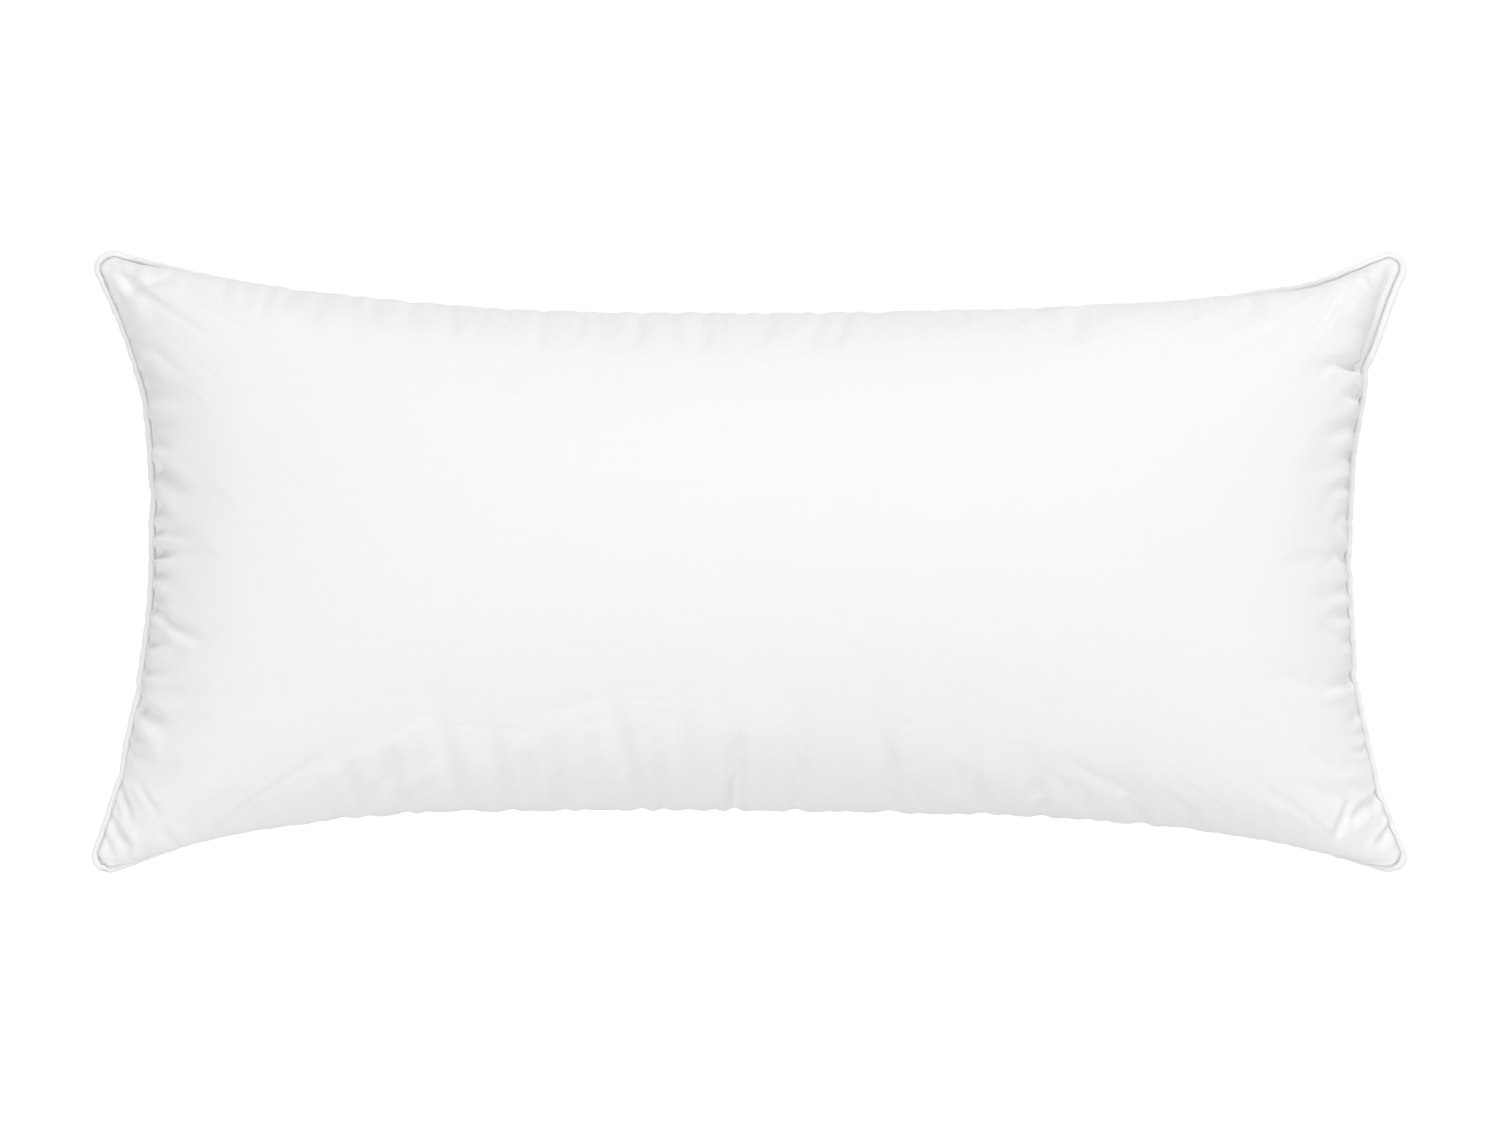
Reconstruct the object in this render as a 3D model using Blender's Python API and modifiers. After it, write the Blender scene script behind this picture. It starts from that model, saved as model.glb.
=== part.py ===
# Bed pillow: a fibre filling in a cover of two woven panels, with a piping sewn
# into the seam all the way round. Metres, +Z up, long side along X. It lies on
# its back panel, with the origin under its middle, on the surface it rests on.
#
# Every edge piece follows one seam line. A place beside that line is written as
# (out, up): out is measured away from the pillow, up is measured from the seam
# plane. The panels fold inwards at out = 0, and the cord lies outside them.

import math

import bmesh
import bpy
from mathutils import Vector
from mathutils.bvhtree import BVHTree

# Overall sizes, over the piping
LENGTH = 0.785                     # corner tip to corner tip, along X
WIDTH = 0.374                      # corner tip to corner tip, along Y
LONG_EDGE_BOW = 0.0395             # how far a long edge's middle sits inside its corners
SHORT_EDGE_BOW = 0.0335            # the same on a short edge
CORNER_RADIUS = 0.0112             # round of a corner tip
LONG_EDGE_FLARE = math.radians(16)     # turn of a long edge where it meets the corner
SHORT_EDGE_FLARE = math.radians(24)

# Crowns
FRONT_CROWN = 0.093                # rise of the front panel from its edge roll
BACK_CROWN = 0.095                 # the back panel's, before it is pressed flat
PRESS = 0.0095                     # how far lying on a surface presses the back crown in
LONG_EDGE_SWELL = 0.0140           # how far a panel's wall leans out over a long edge
SHORT_EDGE_SWELL = 0.0070
SWELL_POWER = 100                  # keeps the lean close to the edge
LONG_PROFILE = (2.6, 0.55)         # crown's section along X: 1 - u^a, raised to b
CROSS_PROFILE = (2.1, 0.52)        # crown's section along Y

# Edge roll, where a panel turns from its crown into the seam
ROLL_HEIGHT = 0.0045
CORNER_ROLL = 0.0026               # the roll's width at a corner, where the crown is low
LONG_EDGE_LEAN = 0.0010            # how far it leans out at a long edge's middle
ROLL_BEND = (0.28, 0.45)           # its middle, as shares of its width and height

# Cloth, seam and piping
CLOTH = 0.0004
CLEARANCE = 0.0003                 # between pieces that touch
FOLD_RADIUS = 0.0008               # outside of a panel's fold at the seam
ALLOWANCE = 0.009                  # cloth turned inside beyond the fold
CORNER_TRIM = 0.55                 # allowance left at a corner, as a share of the seam's radius
TRIM_LENGTH = 0.040                # stretch beside a corner where the allowance widens again
STITCH_LINE = 0.0013               # the seam's stitches, inside the fold
THREAD_RADIUS = 0.0002
CORD_RADIUS = 0.0014
CORD_FIT = 0.0004                  # slack of the strip round the cord

# Filling
FILLING_EDGE_GAP = 0.0015          # from the end of the allowances
FILLING_GAP = 0.005                # under the panels

# Closing topstitch, on the right short edge from the corner to the middle
CLOSING_LENGTH = 0.172

# Care label in the seam of the long edge at -Y, lying against the back panel
LABEL_WIDTH = 0.045
LABEL_DROP = 0.050
LABEL_PLACE = -0.16                # its middle, along X
LABEL_CLOTH = 0.0003               # thickness
LABEL_GAP = 0.0012                 # from the panel, once clear of the groove
LABEL_EASE = 0.010                 # drop over which that gap opens

# Steps of the meshes
LONG_STEPS = 9                     # along half a long edge
SHORT_STEPS = 4                    # along half a short edge
CORNER_STEPS = 6                   # round a corner
STEP_SHRINK = math.radians(80)     # a larger angle shortens the steps more near a corner
PIPING_STEPS = 9                   # round the cord
LABEL_STEPS = (3, 16)              # across and along the label
LABEL_STEP_POWER = 1.6             # shortens the label's steps near its head
WELD = 0.00001
CORD_SIDES = 8
THREAD_SIDES = 6

# Levels above the seam plane and distances beside the seam line that follow
REST_DEPTH = ROLL_HEIGHT + BACK_CROWN - PRESS      # seam plane over the flat patch
FLANGE_LEVEL = CLEARANCE / 2 + CLOTH
PANEL_LEVEL = FLANGE_LEVEL + CLEARANCE
PIPING_RADIUS = CORD_RADIUS + CORD_FIT + CLOTH
THREAD_GAP = CLEARANCE + THREAD_RADIUS
STITCH_LEVEL = PANEL_LEVEL + CLOTH + THREAD_GAP
GROOVE_LEVEL = FLANGE_LEVEL + THREAD_GAP
GROOVE_LINE = THREAD_GAP
CORD_LINE = GROOVE_LINE + math.sqrt((PIPING_RADIUS + THREAD_GAP) ** 2 - GROOVE_LEVEL ** 2)
PIPING_REACH = CORD_LINE + PIPING_RADIUS
SEAM_RADIUS = CORNER_RADIUS - PIPING_REACH

COLUMNS = 2 * LONG_STEPS + CORNER_STEPS
ROWS = 2 * SHORT_STEPS + CORNER_STEPS
RING_COUNT = 2 * (COLUMNS + ROWS)


class SeamPoint:
    """One point of the seam line, with its outward direction."""

    def __init__(self, x, y, normal_x, normal_y, middle, on_long_edge, allowance):
        self.place = Vector((x, y, 0))
        self.normal = Vector((normal_x, normal_y, 0))
        self.middle = middle               # 0 at a corner, 1 at the middle of an edge
        self.on_long_edge = on_long_edge
        self.allowance = allowance

    def mirrored(self, sign_x, sign_y):
        return SeamPoint(self.place.x * sign_x, self.place.y * sign_y,
                         self.normal.x * sign_x, self.normal.y * sign_y,
                         self.middle, self.on_long_edge, self.allowance)

    def at(self, out, up):
        return self.place + self.normal * out + Vector((0, 0, up))


def allowance_beside(distance):
    """Width of the turned-in cloth at a distance from the corner's arc."""
    share = min(distance / TRIM_LENGTH, 1)
    ease = share * share * (3 - 2 * share)
    trimmed = SEAM_RADIUS * CORNER_TRIM
    return trimmed + (ALLOWANCE - trimmed) * ease


def edge_points(half_length, middle_offset, end_offset, flare, steps):
    """Half an edge, from its middle to its end, as places along and across, the
    line's tilt, the share left to the corner and the allowance.

    The edge is bowed: across = middle + bow * (along / half_length) ^ power, with
    the power that gives the wanted flare where the corner's arc takes over.
    """
    bow = end_offset - middle_offset
    power = math.tan(flare) * half_length / bow
    points = []
    for step in range(steps):
        # Steps shorten towards the corner, where the wall turns most
        along = math.sin(step / steps * STEP_SHRINK) / math.sin(STEP_SHRINK)
        across = middle_offset + bow * along ** power
        slope = power * bow / half_length * along ** (power - 1)
        tilt = math.atan(slope)
        allowance = allowance_beside(half_length * (1 - along))
        points.append((along * half_length, across, tilt, 1 - along ** 2, allowance))
    return points


def seam_quarter():
    """Seam points from the right edge's middle to the upper edge's middle."""
    centre_x = LENGTH / 2 - CORNER_RADIUS
    centre_y = WIDTH / 2 - CORNER_RADIUS
    long_end_x = centre_x - SEAM_RADIUS * math.sin(LONG_EDGE_FLARE)
    long_end_y = centre_y + SEAM_RADIUS * math.cos(LONG_EDGE_FLARE)
    short_end_x = centre_x + SEAM_RADIUS * math.cos(SHORT_EDGE_FLARE)
    short_end_y = centre_y - SEAM_RADIUS * math.sin(SHORT_EDGE_FLARE)
    short_middle = LENGTH / 2 - PIPING_REACH - SHORT_EDGE_BOW
    long_middle = WIDTH / 2 - PIPING_REACH - LONG_EDGE_BOW

    quarter = []
    right_edge = edge_points(short_end_y, short_middle, short_end_x, SHORT_EDGE_FLARE,
                             SHORT_STEPS)
    for along, across, tilt, middle, allowance in right_edge:
        quarter.append(SeamPoint(across, along, math.cos(tilt), -math.sin(tilt),
                                 middle, False, allowance))
    start = -SHORT_EDGE_FLARE
    sweep = math.pi / 2 + LONG_EDGE_FLARE + SHORT_EDGE_FLARE
    for step in range(CORNER_STEPS + 1):
        angle = start + sweep * step / CORNER_STEPS
        quarter.append(SeamPoint(centre_x + SEAM_RADIUS * math.cos(angle),
                                 centre_y + SEAM_RADIUS * math.sin(angle),
                                 math.cos(angle), math.sin(angle),
                                 0, step > CORNER_STEPS / 2, allowance_beside(0)))
    upper_edge = edge_points(long_end_x, long_middle, long_end_y, LONG_EDGE_FLARE,
                             LONG_STEPS)
    for along, across, tilt, middle, allowance in reversed(upper_edge):
        quarter.append(SeamPoint(along, across, -math.sin(tilt), math.cos(tilt),
                                 middle, True, allowance))
    return quarter


def seam_ring():
    """The whole seam line, counterclockwise from the right edge's middle."""
    quarter = seam_quarter()
    ring = [point.mirrored(1, 1) for point in quarter[:-1]]
    ring += [point.mirrored(-1, 1) for point in reversed(quarter[1:])]
    ring += [point.mirrored(-1, -1) for point in quarter[:-1]]
    ring += [point.mirrored(1, -1) for point in reversed(quarter[1:])]
    return ring


def panel_section(point):
    """A panel's edge as (out, up) places, from its crown round to the allowance's end."""
    lean = LONG_EDGE_LEAN if point.on_long_edge else 0
    roll = -CORNER_ROLL + (lean + CORNER_ROLL) * point.middle
    fold_level = PANEL_LEVEL + FOLD_RADIUS
    bend = FOLD_RADIUS * math.sqrt(0.5)
    return [(roll, ROLL_HEIGHT),
            (roll * ROLL_BEND[0], fold_level + (ROLL_HEIGHT - fold_level) * ROLL_BEND[1]),
            (0, fold_level),
            (bend - FOLD_RADIUS, fold_level - bend),
            (-FOLD_RADIUS, PANEL_LEVEL),
            (-point.allowance, PANEL_LEVEL)]


def crown_share(u, v):
    """The crown's height at a place of the panel, from 0 at the edge to 1."""
    along = (1 - abs(u) ** LONG_PROFILE[0]) ** LONG_PROFILE[1]
    across = (1 - abs(v) ** CROSS_PROFILE[0]) ** CROSS_PROFILE[1]
    return along * across


def swell(share, other, amount):
    """How far the wall leans out beside the edge, none at the edge or a corner."""
    return amount * share * (1 - other ** 2) * (1 - abs(share) ** SWELL_POWER)


def crown_places(border, base, crown, deepest):
    """A crown as a grid of places that fits a border of places.

    The border runs counterclockwise from the right edge's middle.
    """
    half_rows = ROWS // 2
    right = [border[row - half_rows] for row in range(ROWS + 1)]
    upper = [border[half_rows + COLUMNS - column] for column in range(COLUMNS + 1)]
    places = {}
    for column in range(COLUMNS + 1):
        for row in range(ROWS + 1):
            u = upper[column].x / upper[COLUMNS].x
            v = right[row].y / right[ROWS].y
            x = u * right[row].x + swell(u, v, SHORT_EDGE_SWELL)
            y = v * upper[column].y + swell(v, u, LONG_EDGE_SWELL)
            z = min(base + crown * crown_share(u, v), deepest)
            places[column, row] = Vector((x, y, z))
    return places


def placed_grid(mesh, places, side):
    """A grid whose vertices go to the places, mirrored in Z when side is -1."""
    made = bmesh.ops.create_grid(mesh, x_segments=COLUMNS, y_segments=ROWS, size=1)
    grid = {}
    for vertex in made["verts"]:
        column = round((vertex.co.x + 1) / 2 * COLUMNS)
        row = round((vertex.co.y + 1) / 2 * ROWS)
        place = places[column, row]
        vertex.co = (place.x, place.y, place.z * side)
        grid[column, row] = vertex
    return grid


def border_of(grid):
    """The grid's outer vertices, counterclockwise from the right edge's middle."""
    half = ROWS // 2
    loop = [grid[COLUMNS, row] for row in range(half, ROWS)]
    loop += [grid[column, ROWS] for column in range(COLUMNS, 0, -1)]
    loop += [grid[0, row] for row in range(ROWS, 0, -1)]
    loop += [grid[column, 0] for column in range(COLUMNS)]
    loop += [grid[COLUMNS, row] for row in range(half)]
    return loop


def extrude_loop(mesh, loop, places):
    """Extrude a closed loop of edges to new places and give its new vertices."""
    edges = [mesh.edges.get((loop[index - 1], loop[index])) for index in range(len(loop))]
    extruded = bmesh.ops.extrude_edge_only(mesh, edges=edges)["geom"]
    fresh = {item for item in extruded if isinstance(item, bmesh.types.BMVert)}
    outer = []
    for vertex, place in zip(loop, places):
        partner = next(edge.other_vert(vertex) for edge in vertex.link_edges
                       if edge.other_vert(vertex) in fresh)
        partner.co = place
        outer.append(partner)
    return outer


def material(name, colour, roughness):
    surface = bpy.data.materials.new(name)
    surface.use_nodes = True
    shader = surface.node_tree.nodes["Principled BSDF"]
    shader.inputs["Base Color"].default_value = (*colour, 1)
    shader.inputs["Roughness"].default_value = roughness
    shader.inputs["Metallic"].default_value = 0
    surface.diffuse_color = (*colour, 1)
    return surface


def add_object(name, data, surface, collection):
    """Put a piece in the collection, with its seam plane at the rest depth."""
    piece = bpy.data.objects.new(name, data)
    piece.location.z = REST_DEPTH
    data.materials.append(surface)
    collection.objects.link(piece)
    return piece


def add_mesh(name, mesh, surface, collection):
    data = bpy.data.meshes.new(name)
    mesh.to_mesh(data)
    mesh.free()
    data.shade_smooth()
    return add_object(name, data, surface, collection)


def thicken(piece, thickness, offset):
    shell = piece.modifiers.new("Cloth thickness", "SOLIDIFY")
    shell.thickness = thickness
    shell.offset = offset
    shell.use_even_offset = True


def point_outwards(mesh, face, direction):
    """Turn every face so that the given face looks along the direction."""
    bmesh.ops.recalc_face_normals(mesh, faces=mesh.faces)
    if face.normal.dot(direction) < 0:
        bmesh.ops.reverse_faces(mesh, faces=mesh.faces)


def make_panel(name, ring, side, crown, deepest, surface, collection):
    """A panel: crown, edge roll, fold and the allowance turned inside."""
    sections = [panel_section(point) for point in ring]
    border = [point.at(*section[0]) for point, section in zip(ring, sections)]
    places = crown_places(border, ROLL_HEIGHT, crown, deepest)
    mesh = bmesh.new()
    grid = placed_grid(mesh, places, side)
    loop = border_of(grid)
    for place_number in range(1, len(sections[0])):
        targets = []
        for point, section in zip(ring, sections):
            out, up = section[place_number]
            targets.append(point.at(out, up * side))
        loop = extrude_loop(mesh, loop, targets)
    point_outwards(mesh, grid[COLUMNS // 2, ROWS // 2].link_faces[0], Vector((0, 0, side)))
    panel = add_mesh(name, mesh, surface, collection)
    thicken(panel, CLOTH, -1)
    return panel


def make_piping_cover(ring, surface, collection):
    """The bias strip: one flange, round the cord, and back as the other flange."""
    mouth = math.asin(FLANGE_LEVEL / PIPING_RADIUS)
    turn = 2 * (math.pi - mouth) / PIPING_STEPS
    arc = []
    for step in range(PIPING_STEPS + 1):
        angle = math.pi - mouth - step * turn
        arc.append((CORD_LINE + PIPING_RADIUS * math.cos(angle),
                    PIPING_RADIUS * math.sin(angle)))
    mesh = bmesh.new()
    circle = bmesh.ops.create_circle(mesh, segments=RING_COUNT, radius=1)["verts"]
    circle.sort(key=lambda vertex: math.atan2(vertex.co.y, vertex.co.x) % (2 * math.pi))
    for vertex, point in zip(circle, ring):
        vertex.co = point.at(-point.allowance, FLANGE_LEVEL)
    loop = circle
    for out, up in arc:
        loop = extrude_loop(mesh, loop, [point.at(out, up) for point in ring])
    extrude_loop(mesh, loop, [point.at(-point.allowance, -FLANGE_LEVEL) for point in ring])
    point_outwards(mesh, circle[0].link_faces[0], Vector((0, 0, 1)))
    thicken(add_mesh("piping_cover", mesh, surface, collection), CLOTH, -1)


def make_strand(name, places, closed, radius, sides, surface, collection):
    """A cord or thread of round section through the places."""
    curve = bpy.data.curves.new(name, "CURVE")
    curve.dimensions = "3D"
    curve.bevel_depth = radius
    curve.bevel_resolution = (sides - 4) // 2
    curve.use_fill_caps = not closed
    spline = curve.splines.new("POLY")
    spline.points.add(len(places) - 1)
    for spot, place in zip(spline.points, places):
        spot.co = (*place, 1)
    spline.use_cyclic_u = closed
    add_object(name, curve, surface, collection)


def closing_places(ring):
    """The topstitch on the front panel's roll, up the right edge to the corner."""
    path = ring[:SHORT_STEPS + 2]
    places = []
    for point in path:
        inner, outer = [Vector(spot) for spot in panel_section(point)[:2]]
        along = (inner - outer).normalized()
        away = Vector((along.y, -along.x))
        spot = (inner + outer) / 2 + away * THREAD_GAP
        places.append(point.at(spot.x, spot.y))
    lowest = places[-1].y - CLOSING_LENGTH
    kept = [place for place in places if place.y > lowest]
    if len(kept) < len(places):
        below = places[len(places) - len(kept) - 1]
        share = (kept[0].y - lowest) / (kept[0].y - below.y)
        kept.insert(0, kept[0].lerp(below, share))
    return kept


def make_filling(ring, surface, collection):
    """The fibre body: two crowns that meet at an edge inside the allowances."""
    border = [point.at(-point.allowance - FILLING_EDGE_GAP, 0) for point in ring]
    pressed = REST_DEPTH - CLOTH - FILLING_GAP
    front = crown_places(border, 0, FRONT_CROWN - FILLING_GAP, math.inf)
    back = crown_places(border, 0, BACK_CROWN - FILLING_GAP, pressed)
    mesh = bmesh.new()
    grid = placed_grid(mesh, front, 1)
    placed_grid(mesh, back, -1)
    bmesh.ops.remove_doubles(mesh, verts=mesh.verts, dist=WELD)
    point_outwards(mesh, grid[COLUMNS // 2, ROWS // 2].link_faces[0], Vector((0, 0, 1)))
    add_mesh("filling", mesh, surface, collection)


def make_care_label(panel, surface, collection):
    """A blank tape whose head sits in the groove and whose length lies on the panel."""
    skin = bmesh.new()
    skin.from_mesh(panel.data)
    wall = BVHTree.FromBMesh(skin)
    skin.free()
    mesh = bmesh.new()
    head = -(PANEL_LEVEL + FOLD_RADIUS / 2)
    across, along = LABEL_STEPS
    made = bmesh.ops.create_grid(mesh, x_segments=across, y_segments=along, size=0.5)
    for vertex in made["verts"]:
        drop = LABEL_DROP * (0.5 - vertex.co.y) ** LABEL_STEP_POWER
        place = Vector((LABEL_PLACE + vertex.co.x * LABEL_WIDTH, -WIDTH, head - drop))
        spot, facing = wall.ray_cast(place, Vector((0, 1, 0)))[:2]
        ease = min(drop / LABEL_EASE, 1)
        gap = CLEARANCE + (LABEL_GAP - CLEARANCE) * ease
        vertex.co = spot + Vector((0, -1, 0)).lerp(facing, ease) * gap
    point_outwards(mesh, made["verts"][0].link_faces[0], Vector((0, -1, 0)))
    thicken(add_mesh("care_label", mesh, surface, collection), LABEL_CLOTH, 1)


def build():
    for old in list(bpy.data.objects):
        bpy.data.objects.remove(old)
    collection = bpy.data.collections.new("bed_pillow")
    bpy.context.scene.collection.children.link(collection)

    ring = seam_ring()
    make_panel("front_panel", ring, 1, FRONT_CROWN, math.inf,
               material("front_panel_cloth", (0.93, 0.93, 0.93), 0.85), collection)
    back = make_panel("back_panel", ring, -1, BACK_CROWN, REST_DEPTH,
                      material("back_panel_cloth", (0.92, 0.92, 0.92), 0.85), collection)
    make_piping_cover(ring, material("piping_cloth", (0.95, 0.95, 0.95), 0.80), collection)
    make_filling(ring, material("filling_fibre", (0.90, 0.90, 0.88), 0.95), collection)
    make_care_label(back, material("care_label_tape", (0.94, 0.94, 0.95), 0.60), collection)

    strands = [
        ("piping_cord", CORD_LINE, 0, CORD_RADIUS, CORD_SIDES, (0.88, 0.87, 0.84)),
        ("piping_thread", GROOVE_LINE, GROOVE_LEVEL,
         THREAD_RADIUS, THREAD_SIDES, (0.94, 0.94, 0.94)),
        ("seam_thread_front", -STITCH_LINE, STITCH_LEVEL,
         THREAD_RADIUS, THREAD_SIDES, (0.93, 0.93, 0.93)),
        ("seam_thread_back", -STITCH_LINE, -STITCH_LEVEL,
         THREAD_RADIUS, THREAD_SIDES, (0.93, 0.93, 0.93)),
    ]
    for name, out, up, radius, sides, colour in strands:
        places = [point.at(out, up) for point in ring]
        make_strand(name, places, True, radius, sides,
                    material(name + "_fibre", colour, 0.7), collection)
    make_strand("closing_thread", closing_places(ring), False, THREAD_RADIUS, THREAD_SIDES,
                material("closing_thread_fibre", (0.95, 0.95, 0.95), 0.6), collection)


build()
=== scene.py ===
# Bed pillow. The cover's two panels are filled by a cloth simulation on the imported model's
# seam line; the piping, its cord, the stitches, the label and the fibre all follow that line.
# Metres, +Z up, long side along X. A place beside the seam is (out, up) from the seam line.
import math

import bmesh
import bpy
import numpy as np
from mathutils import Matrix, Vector
from mathutils.bvhtree import BVHTree


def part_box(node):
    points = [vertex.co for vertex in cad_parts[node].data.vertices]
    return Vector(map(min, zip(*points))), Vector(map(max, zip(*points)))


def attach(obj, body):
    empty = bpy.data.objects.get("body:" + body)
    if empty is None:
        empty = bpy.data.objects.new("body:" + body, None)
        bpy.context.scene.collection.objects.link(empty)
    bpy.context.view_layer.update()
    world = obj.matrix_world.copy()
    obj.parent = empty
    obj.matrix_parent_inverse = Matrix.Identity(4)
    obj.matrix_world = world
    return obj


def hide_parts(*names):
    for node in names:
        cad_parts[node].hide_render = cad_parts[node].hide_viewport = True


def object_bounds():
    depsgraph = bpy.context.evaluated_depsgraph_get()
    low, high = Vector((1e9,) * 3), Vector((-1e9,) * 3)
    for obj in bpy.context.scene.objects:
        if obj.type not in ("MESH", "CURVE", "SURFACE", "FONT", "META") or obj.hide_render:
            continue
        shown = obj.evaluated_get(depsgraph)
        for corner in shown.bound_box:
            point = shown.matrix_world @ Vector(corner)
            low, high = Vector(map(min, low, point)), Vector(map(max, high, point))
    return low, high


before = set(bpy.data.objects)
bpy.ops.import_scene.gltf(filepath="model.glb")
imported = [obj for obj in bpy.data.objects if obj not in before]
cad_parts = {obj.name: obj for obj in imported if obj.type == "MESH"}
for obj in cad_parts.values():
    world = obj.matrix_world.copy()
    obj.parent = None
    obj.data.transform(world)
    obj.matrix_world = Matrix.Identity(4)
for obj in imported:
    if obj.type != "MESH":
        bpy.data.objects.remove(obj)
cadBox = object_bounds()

millimetre = 0.001
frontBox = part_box("front_panel")
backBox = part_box("back_panel")
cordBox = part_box("piping_cord")
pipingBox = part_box("piping_cover")

# The seam line, seen from above: four bowed edges between round corner tips
seam = {
    "tip": (frontBox[1].x, frontBox[1].y),
    "level": (cordBox[0].z + cordBox[1].z) / 2,
    "longBow": 0.0395,             # how far an edge's middle sits inside the tips
    "shortBow": 0.0335,
    "longFlare": math.radians(16),     # turn of an edge where it meets a corner
    "shortFlare": math.radians(24),
    "cornerRadius": 0.006,
    "cornerPoints": 61,
    "shortPoints": 400,
    "longPoints": 800,
    "step": 0.0005,                # between the finished line's points
    # Where the piping is drawn in by a gather: edge, place along it, depth, width
    "pinches": [
        ("left", 0.039, 0.0016, 0.010), ("left", -0.079, 0.0010, 0.007),
        ("left", -0.127, 0.0014, 0.008), ("left", 0.098, 0.0006, 0.008),
        ("right", 0.116, 0.0026, 0.009), ("right", 0.000, 0.0012, 0.007),
        ("right", -0.069, 0.0012, 0.007), ("right", -0.136, 0.0010, 0.008),
        ("right", 0.062, 0.0006, 0.007),
        ("upper", 0.290, 0.0008, 0.010), ("upper", -0.265, 0.0008, 0.009),
        ("lower", 0.255, 0.0010, 0.010), ("lower", -0.240, 0.0010, 0.009),
    ],
    # Where an edge bows more or less than the plain curve: edge, place, depth inwards, width
    "drifts": [
        ("lower", -0.315, 0.0050, 0.050), ("lower", -0.230, 0.0048, 0.100),
        ("lower", 0.300, 0.0034, 0.070), ("lower", 0.000, 0.0014, 0.300),
        ("upper", 0.335, 0.0045, 0.032), ("upper", 0.285, 0.0042, 0.075),
        ("left", 0.105, 0.0030, 0.045), ("left", -0.095, -0.0044, 0.065),
        ("right", -0.020, -0.0013, 0.160),
    ],
    "facingFrom": 0.5,             # how squarely the line faces an edge's way to be moved with it
    "facingEase": 0.3,
    "wave": 0.0006,                # slow wander of the line, in and out and up and down
    "waveHarmonics": 40,
    "liftShare": 1.6,              # of the wander up and down, beside the one in and out
    "liftHarmonics": 46,
    "seed": 11,
}

# The cloth at the seam, in the order of the layers
cloth = {
    "thickness": 0.0004,
    "cut": (0.800, 0.400),         # a flat panel, inside its seam lines
    "foldRadius": 0.0008,          # of a panel's edge, where it turns inside
    "panelLevel": 0.00085,         # of the allowance, above or below the seam
    "allowance": 0.009,
    "cornerAllowance": 0.0033,     # trimmed, so that the corner turns out cleanly
    "trimLength": 0.040,
}
foldLevel = cloth["panelLevel"] + cloth["foldRadius"]


def smoothStep(share):
    share = np.clip(share, 0, 1)
    return share * share * (3 - 2 * share)


def halfEdge(halfLength, middle, end, flare, steps):
    # across = middle + bow * along ^ power, which meets the corner at the flare angle
    share = np.linspace(0, 1, steps)
    power = math.tan(flare) * halfLength / (end - middle)
    return halfLength * share, middle + (end - middle) * share ** power


def plainQuarter():
    # From the right edge's middle to the upper edge's middle, and the tip's index
    tipX, tipY = seam["tip"]
    radius = seam["cornerRadius"]
    centre = np.array((tipX - radius, tipY - radius))
    angles = np.linspace(-seam["shortFlare"], math.pi / 2 + seam["longFlare"],
                         seam["cornerPoints"])
    corner = centre + radius * np.stack([np.cos(angles), np.sin(angles)], 1)
    along, across = halfEdge(corner[0, 1], tipX - seam["shortBow"], corner[0, 0],
                             seam["shortFlare"], seam["shortPoints"])
    right = np.stack([across, along], 1)
    along, across = halfEdge(corner[-1, 0], tipY - seam["longBow"], corner[-1, 1],
                             seam["longFlare"], seam["longPoints"])
    upper = np.stack([along, across], 1)[::-1]
    return np.concatenate([right[:-1], corner, upper[1:]]), len(right) - 1 + len(angles) // 2


def pathLengths(points):
    steps = np.linalg.norm(np.diff(points, axis=0), axis=1)
    return np.concatenate([[0], np.cumsum(steps)])


def slowWave(rng, distance, length, count):
    # A periodic wander made of the first few harmonics
    wave = np.zeros_like(distance)
    for harmonic in range(3, count):
        size, phase = rng.normal(), rng.uniform(0, 2 * math.pi)
        wave += size / harmonic * np.sin(2 * math.pi * harmonic * distance / length + phase)
    return wave / np.abs(wave).max()


def traceSeam():
    # The whole line, counterclockwise from the right edge's middle, as evenly spaced points
    quarter, tipIndex = plainQuarter()
    flipX, flipY = np.array((-1, 1)), np.array((1, -1))
    ring = np.concatenate([quarter[:-1], quarter[::-1][:-1] * flipX,
                           quarter[:-1] * flipX * flipY, quarter[::-1] * flipY])
    lengths = pathLengths(ring)
    tipDistance = pathLengths(quarter)[tipIndex]
    distance = np.linspace(0, lengths[-1], round(lengths[-1] / seam["step"]) + 1)
    place = np.stack([np.interp(distance, lengths, ring[:, axis]) for axis in range(2)], 1)
    outward = outwardFrom(place)
    shift = np.zeros(len(place))
    sides = {"right": (0, 1), "left": (0, -1), "upper": (1, 1), "lower": (1, -1)}
    for edge, spot, depth, width in seam["pinches"] + seam["drifts"]:
        axis, sign = sides[edge]
        beside = np.exp(-((place[:, 1 - axis] - spot) / width) ** 2)
        facing = smoothStep((outward[:, axis] * sign - seam["facingFrom"]) / seam["facingEase"])
        shift -= depth * beside * facing
    rng = np.random.default_rng(seam["seed"])
    shift += seam["wave"] * slowWave(rng, distance, lengths[-1], seam["waveHarmonics"])
    lift = seam["liftShare"] * seam["wave"] * slowWave(rng, distance, lengths[-1],
                                                       seam["liftHarmonics"])
    place = place + outward * shift[:, None]
    return {"distance": distance, "place": place, "outward": outwardFrom(place),
            "lift": lift, "length": lengths[-1], "tipDistance": tipDistance}


def outwardFrom(place):
    # The first and last points are the same place
    ahead = np.concatenate([place[1:], place[1:2]])
    behind = np.concatenate([place[-2:-1], place[:-1]])
    tangent = ahead - behind
    tangent /= np.linalg.norm(tangent, axis=1)[:, None]
    return np.stack([tangent[:, 1], -tangent[:, 0]], 1)


seamLine = traceSeam()
print("Seam line: %.3f m round" % seamLine["length"])


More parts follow.
